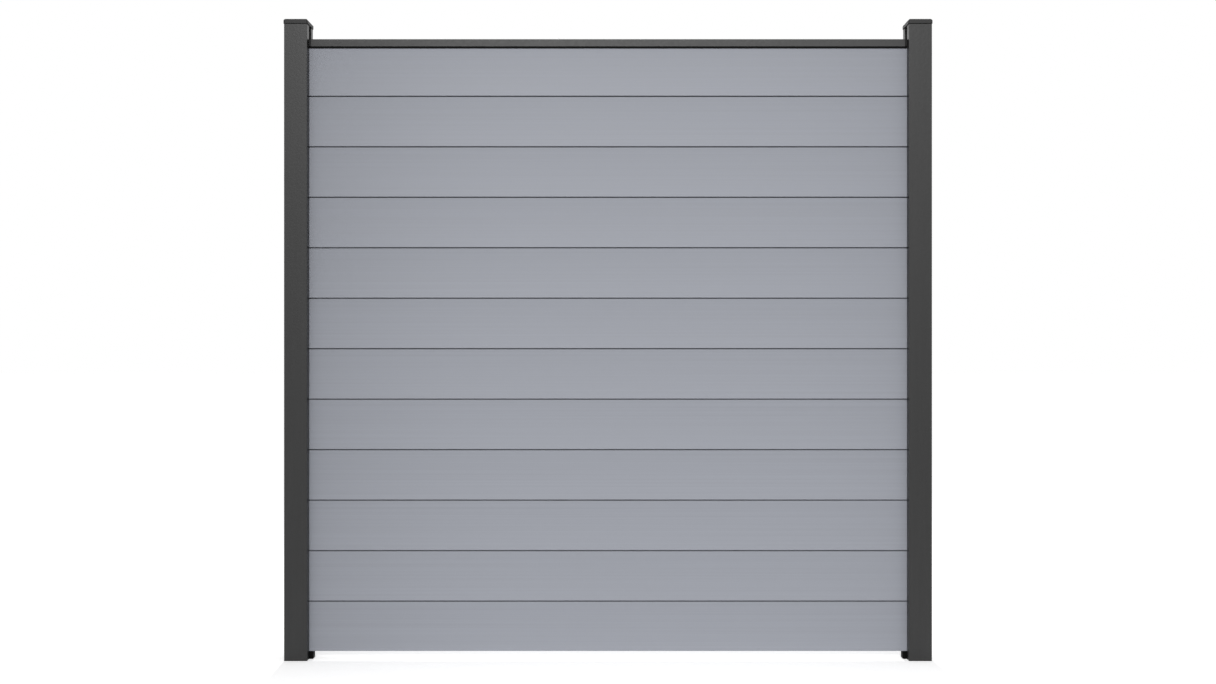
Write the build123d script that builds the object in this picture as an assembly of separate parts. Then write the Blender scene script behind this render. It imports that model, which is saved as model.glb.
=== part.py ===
from build123d import *
import os

# A privacy fence panel: hollow PVC boards stacked between two slotted aluminium posts.
# Lengths are in millimetres. X runs along the fence, Y through it and Z up.
# The origin lies on the ground, midway between the two posts.

# Boards: one hollow tongue-and-groove extrusion, the tongue pointing up
board_count = 12
board_length = 1800.0
board_thickness = 20.0
board_face_height = 146.5
board_skin = 1.8
board_web = 1.4
board_chambers = 5
board_edge_radius = 1.0
seam_gap = 3.5
tongue_thickness = 8.0
tongue_height = 15.0
tongue_tip_chamfer = 1.5
groove_side_clearance = 0.3
groove_mouth_chamfer = 0.8

# How the boards sit in the frame
ground_clearance = 23.0
board_insertion = 12.0
board_side_play = 1.5

# Posts: one extrusion with a board slot on each of two opposite sides
post_size = 68.0
post_wall = 2.2
post_inner_wall = 2.0
post_corner_radius = 1.5
chamber_corner_radius = 1.0
slot_depth = 22.0
slot_lip = 3.0
slot_undercut = 1.5
post_reveal = 40.0

# Top rail: a hollow section that straddles the highest board
rail_width = 30.0
rail_core_width = 21.0
rail_fascia_height = 21.5
rail_fascia_drop = 1.0
rail_side_wall = 1.8
rail_top_wall = 2.0
rail_ledge = 1.8
rail_board_clearance = 0.3
rail_tongue_clearance = 1.5
rail_edge_radius = 1.0
rail_end_gap = 7.0

# Rail ends: plugs that close the rail and key it into the posts' slots
plug_post_clearance = 0.5
plug_peg_length = 15.0
plug_peg_clearance = 0.3
plug_key_clearance = 0.5
plug_key_length = 11.0

# Rail seals: rubber strips pushed up into the rail's lower walls, before and behind the board
rail_seal_drop = 5.0
rail_seal_board_clearance = 0.1
rail_seal_edge_radius = 1.0
rail_seal_stem = 1.2
rail_seal_stem_clearance = 0.1
rail_seal_head_height = 1.6
rail_seal_head_clearance = 0.3
rail_seal_stem_setback = 1.0

# Post caps: a moulded lid over a shadow gap, with four angle legs in the post's corner chambers
cap_overhang = 2.0
cap_height = 15.0
cap_corner_radius = 5.0
cap_chamfer = 4.0
cap_top_skin = 2.5
cap_shadow_gap = 1.5
cap_neck_wall = 3.0
cap_leg_length = 20.0
cap_leg_wall = 2.5
cap_leg_clearance = 0.4

# Spacers: moulded blocks in the foot of each slot that carry the lowest board
spacer_nose = 13.0
spacer_clearance = 0.3
spacer_edge_radius = 3.0
spacer_wall = 3.5
spacer_top_skin = 4.0

# Seals: rubber strips hooked behind the slot lips, either side of the boards
seal_seat_clearance = 0.1
seal_nose_setback = 0.5
seal_heel_length = 5.5

# Values worked out from the sizes above
board_pitch = board_face_height + seam_gap
groove_depth = tongue_height - seam_gap
groove_width = tongue_thickness + 2 * groove_side_clearance
post_gap = board_length - 2 * board_insertion
post_centre_x = post_gap / 2 + post_size / 2
slot_mouth_width = board_thickness + 2 * board_side_play
slot_width = slot_mouth_width + 2 * slot_undercut
stack_shoulder_z = ground_clearance + (board_count - 1) * board_pitch + board_face_height
rail_top_z = stack_shoulder_z - rail_fascia_drop + rail_fascia_height
post_length = rail_top_z + post_reveal
chamber_outer = post_size / 2 - post_wall
slot_floor = post_size / 2 - slot_depth
chamber_low_y = slot_width / 2 + post_inner_wall
core_half_width = slot_floor - post_inner_wall
rail_length = post_gap - 2 * rail_end_gap
rail_chamber_low = rail_core_width / 2
rail_chamber_high = rail_width / 2 - rail_side_wall
rail_stem_centre = (rail_chamber_low + rail_chamber_high) / 2


def span_rectangle(x_low, x_high, y_low, y_high):
    """A flat rectangle between two x and two y values."""
    centre = Pos((x_low + x_high) / 2, (y_low + y_high) / 2)
    return centre * Rectangle(x_high - x_low, y_high - y_low)


def board_section():
    """A board's cross-section; x is through the panel, y is up from the board's lower edge."""
    body_centre = Pos(0, board_face_height / 2)
    body = body_centre * RectangleRounded(board_thickness, board_face_height, board_edge_radius)

    half_tongue = tongue_thickness / 2
    tongue_root = board_face_height - board_skin
    tongue_tip = board_face_height + tongue_height
    tongue = span_rectangle(-half_tongue, half_tongue, tongue_root, tongue_tip)
    tongue = chamfer(tongue.vertices().group_by(Axis.Y)[-1], tongue_tip_chamfer)

    half_groove = groove_width / 2
    half_mouth = half_groove + groove_mouth_chamfer
    groove = span_rectangle(-half_groove, half_groove, 0, groove_depth)
    groove_mouth = Polygon(
        (-half_mouth, 0),
        (half_mouth, 0),
        (half_groove, groove_mouth_chamfer),
        (-half_groove, groove_mouth_chamfer),
        align=None,
    )

    half_hollow = board_thickness / 2 - board_skin
    hollow_bottom = groove_depth + board_skin
    hollow_top = board_face_height - board_skin
    hollow_height = hollow_top - hollow_bottom
    chamber_height = (hollow_height - (board_chambers - 1) * board_web) / board_chambers

    cheek_inner = half_groove + board_skin
    cheek_outer = board_thickness / 2 - board_skin
    cheek_chamber = span_rectangle(cheek_inner, cheek_outer, board_skin, groove_depth)

    section = body + tongue - groove - groove_mouth
    section -= cheek_chamber + mirror(cheek_chamber, about=Plane.YZ)
    for index in range(board_chambers):
        low = hollow_bottom + index * (chamber_height + board_web)
        section -= span_rectangle(-half_hollow, half_hollow, low, low + chamber_height)

    half_tongue_hollow = half_tongue - board_skin
    tongue_hollow_top = tongue_tip - board_skin
    section -= span_rectangle(-half_tongue_hollow, half_tongue_hollow, board_face_height, tongue_hollow_top)
    return section


def board(index):
    """The board with this index, counted up from the ground."""
    solid = extrude(Plane.YZ * board_section(), amount=board_length / 2, both=True)
    return Pos(0, 0, ground_clearance + index * board_pitch) * solid


def post_section():
    """A post's cross-section about its own centre, open to a slot on both x sides."""
    section = RectangleRounded(post_size, post_size, post_corner_radius)
    half_post = post_size / 2
    half_mouth = slot_mouth_width / 2
    half_slot = slot_width / 2

    core_height = 2 * chamber_outer
    section -= RectangleRounded(2 * core_half_width, core_height, chamber_corner_radius)

    chamber_width = chamber_outer - slot_floor
    chamber_height = chamber_outer - chamber_low_y
    chamber_x = (chamber_outer + slot_floor) / 2
    chamber_y = (chamber_outer + chamber_low_y) / 2
    chamber = RectangleRounded(chamber_width, chamber_height, chamber_corner_radius)
    for side_x in (-1, 1):
        for side_y in (-1, 1):
            section -= Pos(side_x * chamber_x, side_y * chamber_y) * chamber

    slot = span_rectangle(slot_floor, half_post - slot_lip, -half_slot, half_slot)
    mouth = span_rectangle(slot_floor, half_post, -half_mouth, half_mouth)
    section -= slot + mouth
    section -= mirror(slot + mouth, about=Plane.YZ)
    return section


def post(side):
    """The post on the left (side -1) or the right (side 1), standing on the ground."""
    return Pos(side * post_centre_x, 0) * extrude(post_section(), amount=post_length)


def cap_leg():
    """One angle leg, in the chamber of the post's +x +y corner, from tip to cap underside."""
    low_x = slot_floor + cap_leg_clearance
    low_y = chamber_low_y + cap_leg_clearance
    high = chamber_outer - cap_leg_clearance
    angle = span_rectangle(low_x, high, low_y, high)
    angle = fillet(angle.vertices().sort_by(Axis((0, 0, 0), (1, 1, 0)))[-1], chamber_corner_radius)
    angle -= span_rectangle(low_x, high - cap_leg_wall, low_y, high - cap_leg_wall)
    leg_height = cap_leg_length + cap_height - cap_top_skin
    return Pos(0, 0, -cap_leg_length) * extrude(angle, amount=leg_height)


def post_cap(side):
    """The lid of one post: chamfered top, open underside, a set-back neck and legs into the post."""
    lid_size = post_size + 2 * cap_overhang
    neck_size = 2 * (chamber_outer - cap_leg_clearance)
    cavity_size = neck_size - 2 * cap_neck_wall
    cavity_height = cap_height - cap_top_skin
    lid_plan = RectangleRounded(lid_size, lid_size, cap_corner_radius)
    lid = Pos(0, 0, cap_shadow_gap) * extrude(lid_plan, amount=cap_height - cap_shadow_gap)
    lid = chamfer(lid.faces().sort_by(Axis.Z)[-1].edges(), cap_chamfer)
    cap = lid + extrude(Rectangle(neck_size, neck_size), amount=cap_shadow_gap)
    cap -= extrude(Rectangle(cavity_size, cavity_size), amount=cavity_height)
    front_pair = cap_leg() + mirror(cap_leg(), about=Plane.YZ)
    cap += front_pair
    cap += mirror(front_pair, about=Plane.XZ)
    return Pos(side * post_centre_x, 0, post_length) * cap


def spacer(side):
    """The block under the lowest board's end: a key inside the slot and a nose that shows."""
    inner_face = post_gap / 2
    nose_x = inner_face - spacer_nose
    key_x = inner_face + slot_lip + spacer_clearance
    end_x = inner_face + slot_depth - spacer_clearance
    half_neck = slot_mouth_width / 2 - spacer_clearance
    half_key = slot_width / 2 - spacer_clearance
    plan = span_rectangle(nose_x, end_x, -half_neck, half_neck)
    plan += span_rectangle(key_x, end_x, -half_key, half_key)
    block = extrude(plan, amount=ground_clearance)
    nose_edges = block.faces().sort_by(Axis.X)[0].edges().sort_by(Axis.Z)
    block = fillet(nose_edges[:-1], spacer_edge_radius)

    pocket_depth = ground_clearance - spacer_top_skin
    half_pocket = half_neck - spacer_wall
    rib_x = inner_face + slot_lip
    nose_pocket = span_rectangle(nose_x + spacer_wall, rib_x, -half_pocket, half_pocket)
    key_pocket = span_rectangle(rib_x + spacer_wall, end_x - spacer_wall, -half_pocket, half_pocket)
    block -= extrude(nose_pocket + key_pocket, amount=pocket_depth)
    if side < 0:
        block = mirror(block, about=Plane.YZ)
    return block


def seal(side, face):
    """One strip at the post on this side, before (face -1) or behind (face 1) the boards."""
    inner_face = post_gap / 2
    board_y = board_thickness / 2 + seal_seat_clearance
    lip_y = slot_mouth_width / 2 - seal_seat_clearance
    wall_y = slot_width / 2 - seal_seat_clearance
    nose_x = inner_face + seal_nose_setback
    heel_x = inner_face + slot_lip + seal_seat_clearance
    heel_end_x = heel_x + seal_heel_length
    strip_section = span_rectangle(nose_x, heel_end_x, board_y, lip_y)
    strip_section += span_rectangle(heel_x, heel_end_x, board_y, wall_y)
    strip_height = stack_shoulder_z - ground_clearance
    strip = Pos(0, 0, ground_clearance) * extrude(strip_section, amount=strip_height)
    if side < 0:
        strip = mirror(strip, about=Plane.YZ)
    if face < 0:
        strip = mirror(strip, about=Plane.XZ)
    return strip


def rail_outline():
    """The outside of the rail's section; x is through the panel, y up from the top board's shoulder."""
    half_rail = rail_width / 2
    half_board = board_thickness / 2 + rail_board_clearance
    fascia_low = -rail_fascia_drop
    fascia = span_rectangle(-half_rail, half_rail, fascia_low, fascia_low + rail_fascia_height)
    fascia = fillet(fascia.vertices().group_by(Axis.Y)[-1], rail_edge_radius)
    return fascia - span_rectangle(-half_board, half_board, fascia_low, 0)


def fascia_chamber(clearance):
    """The hollow beside the rail's core on the +x side, less a clearance all round."""
    low_y = rail_side_wall - rail_fascia_drop + clearance
    high_y = rail_fascia_height - rail_fascia_drop - rail_top_wall - clearance
    return span_rectangle(rail_chamber_low + clearance, rail_chamber_high - clearance, low_y, high_y)


def rail_seal_stem_section(clearance):
    """The stem of the +x rail seal, through the wall under the chamber, plus a clearance each side."""
    half_stem = rail_seal_stem / 2 + clearance
    low_y = -rail_fascia_drop
    return span_rectangle(
        rail_stem_centre - half_stem, rail_stem_centre + half_stem, low_y, low_y + rail_side_wall
    )


def rail_section():
    """The rail's cross-section: a core over the board's tongue and a chamber on each side of it."""
    half_ledge_gap = tongue_thickness / 2 + rail_tongue_clearance
    half_core_hollow = rail_core_width / 2 - rail_side_wall
    core_top = rail_fascia_height - rail_fascia_drop - rail_top_wall
    side_hollow = fascia_chamber(0) + rail_seal_stem_section(rail_seal_stem_clearance)
    section = rail_outline()
    section -= span_rectangle(-half_ledge_gap, half_ledge_gap, 0, rail_ledge)
    section -= span_rectangle(-half_core_hollow, half_core_hollow, rail_ledge, core_top)
    section -= side_hollow + mirror(side_hollow, about=Plane.YZ)
    return section


def top_rail():
    """The rail on the shoulders of the highest board, between the posts."""
    solid = extrude(Plane.YZ * rail_section(), amount=rail_length / 2, both=True)
    return Pos(0, 0, stack_shoulder_z) * solid


def rail_seal(face):
    """The strip under the rail, before (face -1) or behind (face 1) the highest board."""
    board_y = board_thickness / 2 + rail_seal_board_clearance
    outer_y = rail_stem_centre + rail_seal_stem / 2
    top = -rail_fascia_drop
    lip_section = span_rectangle(board_y, outer_y, top - rail_seal_drop, top)
    lip_section = fillet(
        lip_section.vertices().sort_by(Axis((0, 0, 0), (1, -1, 0)))[-1], rail_seal_edge_radius
    )
    lip_length = post_gap - 2 * plug_post_clearance
    strip = extrude(Plane.YZ * lip_section, amount=lip_length / 2, both=True)

    head_low_x = rail_chamber_low + rail_seal_head_clearance
    head_high_x = rail_chamber_high - rail_seal_head_clearance
    head_low_y = top + rail_side_wall
    stem_section = rail_seal_stem_section(0)
    stem_section += span_rectangle(
        head_low_x, head_high_x, head_low_y, head_low_y + rail_seal_head_height
    )
    stem_length = rail_length - 2 * (plug_peg_length + rail_seal_stem_setback)
    strip += extrude(Plane.YZ * stem_section, amount=stem_length / 2, both=True)
    if face < 0:
        strip = mirror(strip, about=Plane.XZ)
    return Pos(0, 0, stack_shoulder_z) * strip


def rail_end(side):
    """The plug at one end of the rail: a flange, two pegs in the rail and a key in the slot."""
    inner_face = post_gap / 2
    flange_x = inner_face - rail_end_gap
    key_x = inner_face - plug_post_clearance
    half_passage = tongue_thickness / 2 + rail_tongue_clearance
    passage_top = tongue_height + rail_tongue_clearance
    passage = span_rectangle(-half_passage, half_passage, 0, passage_top)

    flange = extrude(Plane.YZ * (rail_outline() - passage), amount=key_x - flange_x)
    half_key = slot_mouth_width / 2 - plug_key_clearance
    key_top = rail_fascia_height - rail_fascia_drop
    key_section = span_rectangle(-half_key, half_key, 0, key_top) - passage
    key = extrude(Plane.YZ * key_section, amount=plug_post_clearance + plug_key_length)
    peg_section = fascia_chamber(plug_peg_clearance)
    peg_section += mirror(peg_section, about=Plane.YZ)
    pegs = extrude(Plane.YZ * peg_section, amount=plug_peg_length)

    plug = Pos(flange_x, 0, 0) * flange + Pos(key_x, 0, 0) * key
    plug += Pos(flange_x - plug_peg_length, 0, 0) * pegs
    plug = Pos(0, 0, stack_shoulder_z) * plug
    if side < 0:
        plug = mirror(plug, about=Plane.YZ)
    return plug


def fence_panel():
    """Every piece of the panel by the name of its node."""
    pieces = {"top_rail": top_rail()}
    pieces["front_rail_seal"] = rail_seal(-1)
    pieces["back_rail_seal"] = rail_seal(1)
    for index in range(board_count):
        pieces[f"board_{index + 1:02d}"] = board(index)
    for side, side_name in ((-1, "left"), (1, "right")):
        pieces[f"{side_name}_post"] = post(side)
        pieces[f"{side_name}_post_cap"] = post_cap(side)
        pieces[f"{side_name}_rail_end"] = rail_end(side)
        pieces[f"{side_name}_spacer"] = spacer(side)
        pieces[f"{side_name}_front_seal"] = seal(side, -1)
        pieces[f"{side_name}_back_seal"] = seal(side, 1)
    return pieces


os.makedirs("parts", exist_ok=True)
for name, piece in fence_panel().items():
    export_step(piece, f"parts/{name}.step")
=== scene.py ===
import math
import bpy
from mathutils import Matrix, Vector


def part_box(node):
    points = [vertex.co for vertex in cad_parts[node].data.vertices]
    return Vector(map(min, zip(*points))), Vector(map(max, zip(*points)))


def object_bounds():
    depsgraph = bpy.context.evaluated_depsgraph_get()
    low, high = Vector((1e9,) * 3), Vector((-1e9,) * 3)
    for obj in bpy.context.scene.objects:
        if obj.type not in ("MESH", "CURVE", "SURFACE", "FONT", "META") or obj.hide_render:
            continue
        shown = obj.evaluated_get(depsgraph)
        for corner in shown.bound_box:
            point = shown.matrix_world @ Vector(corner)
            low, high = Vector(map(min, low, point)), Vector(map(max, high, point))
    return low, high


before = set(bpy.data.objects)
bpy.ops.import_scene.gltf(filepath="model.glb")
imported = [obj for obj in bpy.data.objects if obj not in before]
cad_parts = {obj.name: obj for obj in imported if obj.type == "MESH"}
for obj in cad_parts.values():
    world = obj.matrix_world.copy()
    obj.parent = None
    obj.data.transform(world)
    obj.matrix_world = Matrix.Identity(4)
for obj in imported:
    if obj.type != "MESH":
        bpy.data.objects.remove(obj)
cad_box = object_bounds()

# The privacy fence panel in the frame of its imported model: lengths in metres, +Z up, viewer at -Y.
MM = 0.001

# Camera: level and square on to the panel, its frame 1216 px wide
PHOTO_WIDTH_PX = 1216
FOCAL_PX = 1125.5
SENSOR_WIDTH_MM = 36.0
CAMERA_DISTANCE = 3.354
CAMERA_HEIGHT = 0.9414

# Floor: white, with a glow to the camera that grows from the panel's foot to its full level half
# a metre away, so that the soft shadow at the foot shows
FLOOR_SIZE = 60.0
FLOOR_WHITE = "#E7E7E7"
FLOOR_GLOW_AT_FOOT = 0.4
FLOOR_GLOW = 0.6
FLOOR_GLOW_FULL_AT = 0.5
FLOOR_GLOW_IN_GLOSS = 0.3

# Surroundings: white where they are seen, and a soft dome where they light the panel
SURROUND_WHITE = "#FFFFFF"
WORLD_WHITE = 1.0
FILL_HORIZON = 0.12
FILL_ZENITH = 0.72

# Lamps: one far before the panel and its twin behind, each with a tall, narrow beam; angles in
# degrees, the beam's radius at the panel
KEY_TARGET = (0.12, 0.0, 0.95)
KEY_DISTANCE = 60.0
KEY_ELEVATION = 27.0
KEY_AZIMUTH = -3.0
KEY_RADIUS = 0.75
KEY_BEAM_RADIUS = 1.6
KEY_BEAM_EDGE = 0.75
KEY_BEAM_STRETCH = 4.0
KEY_POWER = 83100.0
BEFORE_PANEL = -1
BEHIND_PANEL = 1

# Every finish: the span in which most values of a noise lie, the refractive index of its resin or
# rubber, and how finely its soft edges are worked out
NOISE_LOW = 0.3
NOISE_HIGH = 0.7
RESIN_IOR = 1.5
EDGE_SAMPLES = 4

# A Mix node's colour sockets go by number, because its number sockets bear the same names
MIX_COLOUR_A = 6
MIX_COLOUR_B = 7
MIX_COLOUR_RESULT = 2

# Powder coat on the posts and the rail
COAT_DARK = "#252525"
COAT_LIGHT = "#292929"
COAT_SPECULAR = 0.47
POST_ROUGHNESS = 0.37
RAIL_ROUGHNESS = 0.5
COAT_ROUGHNESS_SWING = 0.03
COAT_EDGE = 0.6 * MM
# Its shade drifts along the extrusion: this wide, and drawn out 25 times
COAT_SHADE_WIDTH_MM = 14
COAT_SHADE_SQUEEZE = 0.04
COAT_SHADE_DETAIL = 3.0
# Real orange peel is 1 to 3 mm wide; it starts at 6 mm here, so that it shows
PEEL_WIDTH_MM = 6
PEEL_DETAIL = 4.0
PEEL_STRENGTH = 1.0
PEEL_DEPTH = 0.2 * MM
ALONG_RAIL = 0
ALONG_POST = 2

# PVC of the boards
PVC_DARK = "#9598A0"
PVC_LIGHT = "#9A9DA6"
PVC_SMOOTHEST = 0.54
PVC_ROUGHEST = 0.64
PVC_EDGE = 0.5 * MM
# Real draw lines are under 1 mm wide; they start at 5 mm here, so that they show, and run the
# board's whole length
DRAW_LINE_WIDTH_MM = 5
DRAW_LINE_SQUEEZE = 0.003
DRAW_LINE_DETAIL = 4.0
DRAW_LINE_STRENGTH = 0.7
DRAW_LINE_DEPTH = 0.1 * MM
# Real faces sink by some tenths of a millimetre between their edges; they sink deeper here, so
# that it shows
DISH_STRENGTH = 1.0
DISH_DEPTH = 2.8 * MM
# The shadow gap between two faces, and the shade painted darker in it and on the edge just below it
SEAM_GAP = 3.5 * MM
SEAM_PAINTED_SHADE = 0.45
SEAM_PAINTED_SHADE_COLOUR = "#2A2A2B"
SEAM_PAINTED_SHADE_EDGE = 0.2 * MM

# Fittings: caps, plugs, spacers and seals. Their real grain is under 0.5 mm wide; it starts at
# 2 mm here, so that it shows
GRAIN_WIDTH_MM = 2
GRAIN_DETAIL = 3.0
GRAIN_STRENGTH = 0.6
GRAIN_DEPTH = 0.1 * MM
FITTING_EDGE = 0.6 * MM


def linear(hex_code):
    """The scene-linear colour of an sRGB hex code, with full alpha."""
    values = []
    for start in (1, 3, 5):
        level = int(hex_code[start:start + 2], 16) / 255
        values.append(level / 12.92 if level <= 0.04045 else ((level + 0.055) / 1.055) ** 2.4)
    return (*values, 1.0)


def per_metre(feature_mm):
    """The scale of a pattern on Object coordinates with features this many millimetres wide."""
    return 1000.0 / feature_mm


def add_node(tree, kind, inputs=None, stops=(), **settings):
    """A new node with its settings, its ramp's stops if it has one, and its inputs, each of them
    a value or another node's output."""
    node = tree.nodes.new(kind)
    for name, value in settings.items():
        setattr(node, name, value)
    for place, (position, hex_code) in enumerate(stops):
        node.color_ramp.elements[place].position = position
        node.color_ramp.elements[place].color = linear(hex_code)
    for socket, value in (inputs or {}).items():
        if isinstance(value, bpy.types.NodeSocket):
            tree.links.new(value, node.inputs[socket])
        else:
            node.inputs[socket].default_value = value
    return node


def new_material(name):
    """An empty material, its node tree and the object coordinates that its patterns read."""
    material = bpy.data.materials.new(name)
    material.use_nodes = True
    tree = material.node_tree
    tree.nodes.clear()
    coordinates = add_node(tree, "ShaderNodeTexCoord").outputs["Object"]
    return material, tree, coordinates


def powder_coat(name, roughness, drawn_along):
    """The anthracite coat of a piece that was extruded along this axis."""
    # Polyester powder baked on to extruded aluminium: matt, dry and even, with the orange peel
    # that it cures to and a shade that drifts along the extrusion
    material, tree, coordinates = new_material(name)
    squeeze = [1.0, 1.0, 1.0]
    squeeze[drawn_along] = COAT_SHADE_SQUEEZE
    drawn = add_node(
        tree, "ShaderNodeMapping", {"Vector": coordinates, "Scale": squeeze}
    ).outputs[0]
    shade = add_node(
        tree,
        "ShaderNodeTexNoise",
        {
            "Vector": drawn,
            "Scale": per_metre(COAT_SHADE_WIDTH_MM),
            "Detail": COAT_SHADE_DETAIL,
        },
    )
    tint = add_node(
        tree,
        "ShaderNodeValToRGB",
        {"Fac": shade.outputs["Fac"]},
        stops=[(NOISE_LOW, COAT_DARK), (NOISE_HIGH, COAT_LIGHT)],
    )
    peel = add_node(
        tree,
        "ShaderNodeTexNoise",
        {"Vector": coordinates, "Scale": per_metre(PEEL_WIDTH_MM), "Detail": PEEL_DETAIL},
    )
    gloss = add_node(
        tree,
        "ShaderNodeMapRange",
        {
            "Value": peel.outputs["Fac"],
            "From Min": NOISE_LOW,
            "From Max": NOISE_HIGH,
            "To Min": roughness - COAT_ROUGHNESS_SWING,
            "To Max": roughness + COAT_ROUGHNESS_SWING,
        },
    )
    edges = add_node(tree, "ShaderNodeBevel", {"Radius": COAT_EDGE}, samples=EDGE_SAMPLES)
    skin = add_node(
        tree,
        "ShaderNodeBump",
        {
            "Strength": PEEL_STRENGTH,
            "Distance": PEEL_DEPTH,
            "Height": peel.outputs["Fac"],
            "Normal": edges.outputs[0],
        },
    )
    coat = add_node(
        tree,
        "ShaderNodeBsdfPrincipled",
        {
            "Base Color": tint.outputs["Color"],
            "Roughness": gloss.outputs[0],
            "Specular IOR Level": COAT_SPECULAR,
            "Normal": skin.outputs[0],
            "IOR": RESIN_IOR,
        },
    )
    add_node(tree, "ShaderNodeOutputMaterial", {"Surface": coat.outputs[0]})
    return material


def extruded_pvc():
    """The pale grey PVC of the boards, which finds its place on a board by the boards' pitch."""
    # Rigid PVC, extruded: satin, with faint draw lines along the board, each face a little
    # hollow between its edges, and shade painted darker in the shadow gaps
    material, tree, coordinates = new_material("extruded_grey_pvc")
    first_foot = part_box("board_01")[0].z
    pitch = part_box("board_02")[0].z - first_foot
    face_height = pitch - SEAM_GAP

    drawn = add_node(
        tree,
        "ShaderNodeMapping",
        {"Vector": coordinates, "Scale": (DRAW_LINE_SQUEEZE, 1.0, 1.0)},
    ).outputs[0]
    lines = add_node(
        tree,
        "ShaderNodeTexNoise",
        {"Vector": drawn, "Scale": per_metre(DRAW_LINE_WIDTH_MM), "Detail": DRAW_LINE_DETAIL},
    )
    tint = add_node(
        tree,
        "ShaderNodeValToRGB",
        {"Fac": lines.outputs["Fac"]},
        stops=[(NOISE_LOW, PVC_DARK), (NOISE_HIGH, PVC_LIGHT)],
    )

    # Height on a board: its face first, then the gap up to the next board's foot
    height = add_node(tree, "ShaderNodeSeparateXYZ", {"Vector": coordinates}).outputs["Z"]
    above_first = add_node(
        tree, "ShaderNodeMath", {0: height, 1: first_foot}, operation="SUBTRACT"
    ).outputs[0]
    on_board = add_node(
        tree, "ShaderNodeMath", {0: above_first, 1: pitch}, operation="MODULO"
    ).outputs[0]
    # Painted shade: the seam's recess and the face's edge just below it are coloured darker, for the
    # shade that falls there
    in_seam = add_node(
        tree,
        "ShaderNodeMath",
        {0: on_board, 1: face_height - SEAM_PAINTED_SHADE_EDGE},
        operation="GREATER_THAN",
    ).outputs[0]
    seam_painted_shade = add_node(
        tree, "ShaderNodeMath", {0: in_seam, 1: SEAM_PAINTED_SHADE}, operation="MULTIPLY"
    ).outputs[0]
    colour = add_node(
        tree,
        "ShaderNodeMix",
        {
            "Factor": seam_painted_shade,
            MIX_COLOUR_A: tint.outputs["Color"],
            MIX_COLOUR_B: linear(SEAM_PAINTED_SHADE_COLOUR),
        },
        data_type="RGBA",
    ).outputs[MIX_COLOUR_RESULT]

    # The dish rises with the square of the distance from the face's middle line
    from_middle = add_node(
        tree, "ShaderNodeMath", {0: on_board, 1: face_height / 2}, operation="SUBTRACT"
    ).outputs[0]
    share = add_node(
        tree, "ShaderNodeMath", {0: from_middle, 1: face_height / 2}, operation="DIVIDE"
    ).outputs[0]
    dish = add_node(tree, "ShaderNodeMath", {0: share, 1: 2.0}, operation="POWER").outputs[0]
    edges = add_node(tree, "ShaderNodeBevel", {"Radius": PVC_EDGE}, samples=EDGE_SAMPLES)
    dished = add_node(
        tree,
        "ShaderNodeBump",
        {
            "Strength": DISH_STRENGTH,
            "Distance": DISH_DEPTH,
            "Height": dish,
            "Normal": edges.outputs[0],
        },
    )
    skin = add_node(
        tree,
        "ShaderNodeBump",
        {
            "Strength": DRAW_LINE_STRENGTH,
            "Distance": DRAW_LINE_DEPTH,
            "Height": lines.outputs["Fac"],
            "Normal": dished.outputs[0],
        },
    )
    gloss = add_node(
        tree,
        "ShaderNodeMapRange",
        {
            "Value": lines.outputs["Fac"],
            "From Min": NOISE_LOW,
            "From Max": NOISE_HIGH,
            "To Min": PVC_SMOOTHEST,
            "To Max": PVC_ROUGHEST,
        },
    )
    pvc = add_node(
        tree,
        "ShaderNodeBsdfPrincipled",
        {
            "Base Color": colour,
            "Roughness": gloss.outputs[0],
            "Normal": skin.outputs[0],
            "IOR": RESIN_IOR,
        },
    )
    add_node(tree, "ShaderNodeOutputMaterial", {"Surface": pvc.outputs[0]})
    return material


def fitting_finish(name, dark, light, roughness, specular):
    """The dark plastic or rubber of a fitting, even but for the fine grain of its tool."""
    material, tree, coordinates = new_material(name)
    grain = add_node(
        tree,
        "ShaderNodeTexNoise",
        {"Vector": coordinates, "Scale": per_metre(GRAIN_WIDTH_MM), "Detail": GRAIN_DETAIL},
    )
    tint = add_node(
        tree,
        "ShaderNodeValToRGB",
        {"Fac": grain.outputs["Fac"]},
        stops=[(NOISE_LOW, dark), (NOISE_HIGH, light)],
    )
    edges = add_node(tree, "ShaderNodeBevel", {"Radius": FITTING_EDGE}, samples=EDGE_SAMPLES)
    skin = add_node(
        tree,
        "ShaderNodeBump",
        {
            "Strength": GRAIN_STRENGTH,
            "Distance": GRAIN_DEPTH,
            "Height": grain.outputs["Fac"],
            "Normal": edges.outputs[0],
        },
    )
    fitting = add_node(
        tree,
        "ShaderNodeBsdfPrincipled",
        {
            "Base Color": tint.outputs["Color"],
            "Roughness": roughness,
            "Specular IOR Level": specular,
            "Normal": skin.outputs[0],
            "IOR": RESIN_IOR,
        },
    )
    add_node(tree, "ShaderNodeOutputMaterial", {"Surface": fitting.outputs[0]})
    return material


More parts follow.
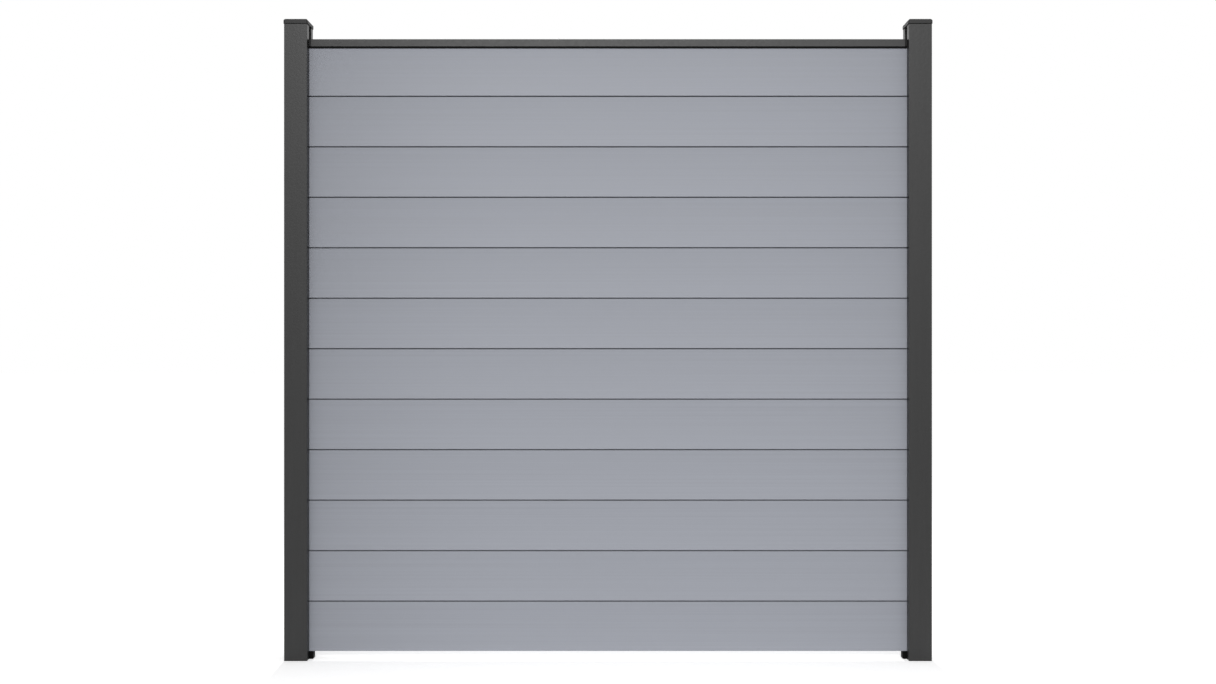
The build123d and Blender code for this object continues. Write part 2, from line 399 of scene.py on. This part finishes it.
def dress_panel():
    """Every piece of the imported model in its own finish, which its name's ending tells."""
    board_pvc = extruded_pvc()
    finishes = {
        "_post": powder_coat("anthracite_powder_coat_post", POST_ROUGHNESS, ALONG_POST),
        "_rail": powder_coat("anthracite_powder_coat_rail", RAIL_ROUGHNESS, ALONG_RAIL),
        # Moulded plastic, dyed through: the coat's grey a shade darker, with a duller shine
        "_cap": fitting_finish(
            "moulded_anthracite_plastic", dark="#1C1C1C", light="#202020",
            roughness=0.5, specular=0.35,
        ),
        # Moulded black plastic: near black, with a low satin sheen where the light reaches it
        "_rail_end": fitting_finish(
            "moulded_black_plastic_plug", dark="#0D0D0D", light="#101010",
            roughness=0.5, specular=0.2,
        ),
        # The same plastic for the spacers at the slots' feet, painted darker and given almost no
        # sheen as painted shade, for the little light and gloss that reach them there
        "_spacer": fitting_finish(
            "moulded_black_plastic_spacer_painted_shade", dark="#080808", light="#0B0B0B",
            roughness=0.5, specular=0.07,
        ),
        # Extruded rubber: a dull, soft black line
        "_seal": fitting_finish(
            "extruded_black_rubber", dark="#0A0A0A", light="#0C0C0C",
            roughness=0.7, specular=0.1,
        ),
    }
    for name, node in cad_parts.items():
        if name.startswith("board_"):
            finish = board_pvc
        else:
            finish = next(finishes[ending] for ending in finishes if name.endswith(ending))
        node.data.materials.clear()
        node.data.materials.append(finish)


def make_floor():
    """A wide white floor that glows less close to the panel, so the soft shadow there shows."""
    bpy.ops.object.select_all(action="DESELECT")
    bpy.ops.mesh.primitive_plane_add(size=FLOOR_SIZE, location=(0.0, 0.0, 0.0))
    floor = bpy.context.object
    floor.name = "floor"
    # A studio floor in matt white paint: no gloss and no grain, so only the shadow marks it
    material, tree, coordinates = new_material("white_floor")

    # Distance from the panel: past its end along the fence, and from its middle across it
    place = add_node(tree, "ShaderNodeSeparateXYZ", {"Vector": coordinates}).outputs
    sideways = add_node(
        tree, "ShaderNodeMath", {0: place["X"]}, operation="ABSOLUTE"
    ).outputs[0]
    past_end = add_node(
        tree, "ShaderNodeMath", {0: sideways, 1: cad_box[1].x}, operation="SUBTRACT"
    ).outputs[0]
    beyond = add_node(
        tree, "ShaderNodeMath", {0: past_end, 1: 0.0}, operation="MAXIMUM"
    ).outputs[0]
    from_foot = add_node(
        tree, "ShaderNodeCombineXYZ", {"X": beyond, "Y": place["Y"]}
    ).outputs[0]
    distance = add_node(
        tree, "ShaderNodeVectorMath", {0: from_foot}, operation="LENGTH"
    ).outputs["Value"]
    near_white = add_node(
        tree,
        "ShaderNodeMapRange",
        {
            "Value": distance,
            "From Min": 0.0,
            "From Max": FLOOR_GLOW_FULL_AT,
            "To Min": FLOOR_GLOW_AT_FOOT,
            "To Max": FLOOR_GLOW,
        },
    ).outputs[0]

    # The glow goes to the camera and, weaker, into gloss and glass, and lights nothing else
    path = add_node(tree, "ShaderNodeLightPath").outputs
    seen = add_node(
        tree, "ShaderNodeMath", {0: near_white, 1: path["Is Camera Ray"]}, operation="MULTIPLY"
    ).outputs[0]
    reflected = add_node(
        tree,
        "ShaderNodeMath",
        {0: path["Is Glossy Ray"], 1: path["Is Transmission Ray"]},
        operation="ADD",
        use_clamp=True,
    ).outputs[0]
    mirrored = add_node(
        tree, "ShaderNodeMath", {0: reflected, 1: FLOOR_GLOW_IN_GLOSS}, operation="MULTIPLY"
    ).outputs[0]
    strength = add_node(
        tree, "ShaderNodeMath", {0: seen, 1: mirrored}, operation="ADD", use_clamp=True
    ).outputs[0]
    matt = add_node(tree, "ShaderNodeBsdfDiffuse", {"Color": linear(FLOOR_WHITE)})
    glow = add_node(tree, "ShaderNodeEmission", {"Strength": strength})
    both = add_node(tree, "ShaderNodeAddShader", {0: matt.outputs[0], 1: glow.outputs[0]})
    add_node(tree, "ShaderNodeOutputMaterial", {"Surface": both.outputs[0]})
    floor.data.materials.append(material)


def make_world():
    """White surroundings to the camera and in gloss; to all else a dome, brighter overhead."""
    world = bpy.data.worlds.new("studio")
    bpy.context.scene.world = world
    world.use_nodes = True
    tree = world.node_tree
    tree.nodes.clear()
    direction = add_node(tree, "ShaderNodeTexCoord").outputs["Generated"]
    up = add_node(tree, "ShaderNodeSeparateXYZ", {"Vector": direction}).outputs["Z"]
    fill = add_node(
        tree,
        "ShaderNodeMapRange",
        {
            "Value": up,
            "From Min": 0.0,
            "From Max": 1.0,
            "To Min": FILL_HORIZON,
            "To Max": FILL_ZENITH,
        },
    ).outputs[0]
    path = add_node(tree, "ShaderNodeLightPath").outputs
    seen = path["Is Camera Ray"]
    for other_ray in ("Is Glossy Ray", "Is Transmission Ray"):
        seen = add_node(
            tree, "ShaderNodeMath", {0: seen, 1: path[other_ray]}, operation="ADD", use_clamp=True
        ).outputs[0]
    level = add_node(
        tree, "ShaderNodeMix", {"Factor": seen, "A": fill, "B": WORLD_WHITE}, data_type="FLOAT"
    ).outputs[0]
    background = add_node(
        tree, "ShaderNodeBackground", {"Color": linear(SURROUND_WHITE), "Strength": level}
    )
    add_node(tree, "ShaderNodeOutputWorld", {"Surface": background.outputs[0]})


def make_key(name, side):
    """A soft lamp high before or behind the panel, its beam strongest near the middle."""
    elevation = math.radians(KEY_ELEVATION)
    azimuth = math.radians(KEY_AZIMUTH)
    away = Vector(
        (
            math.sin(azimuth) * math.cos(elevation),
            side * math.cos(azimuth) * math.cos(elevation),
            math.sin(elevation),
        )
    )
    lamp = bpy.data.lights.new(name, "SPOT")
    lamp.energy = KEY_POWER
    lamp.shadow_soft_size = KEY_RADIUS
    lamp.spot_size = 2 * math.atan(KEY_BEAM_RADIUS / KEY_DISTANCE)
    lamp.spot_blend = KEY_BEAM_EDGE
    key = bpy.data.objects.new(name, lamp)
    key.location = Vector(KEY_TARGET) + away * KEY_DISTANCE
    key.rotation_euler = away.to_track_quat("Z", "Y").to_euler()
    key.scale = (1.0, KEY_BEAM_STRETCH, 1.0)
    bpy.context.scene.collection.objects.link(key)


def make_camera():
    """The photograph's view: level, square on, with its frame's focal length in pixels."""
    data = bpy.data.cameras.new("camera")
    data.sensor_width = SENSOR_WIDTH_MM
    data.lens = FOCAL_PX * SENSOR_WIDTH_MM / PHOTO_WIDTH_PX
    camera = bpy.data.objects.new("camera", data)
    camera.location = (0.0, -CAMERA_DISTANCE, CAMERA_HEIGHT)
    camera.rotation_euler = (math.radians(90), 0.0, 0.0)
    bpy.context.scene.collection.objects.link(camera)
    bpy.context.scene.camera = camera


dress_panel()
make_floor()
make_world()
make_key("front_key", BEFORE_PANEL)
make_key("back_key", BEHIND_PANEL)
make_camera()
bpy.context.scene.view_settings.view_transform = "Standard"
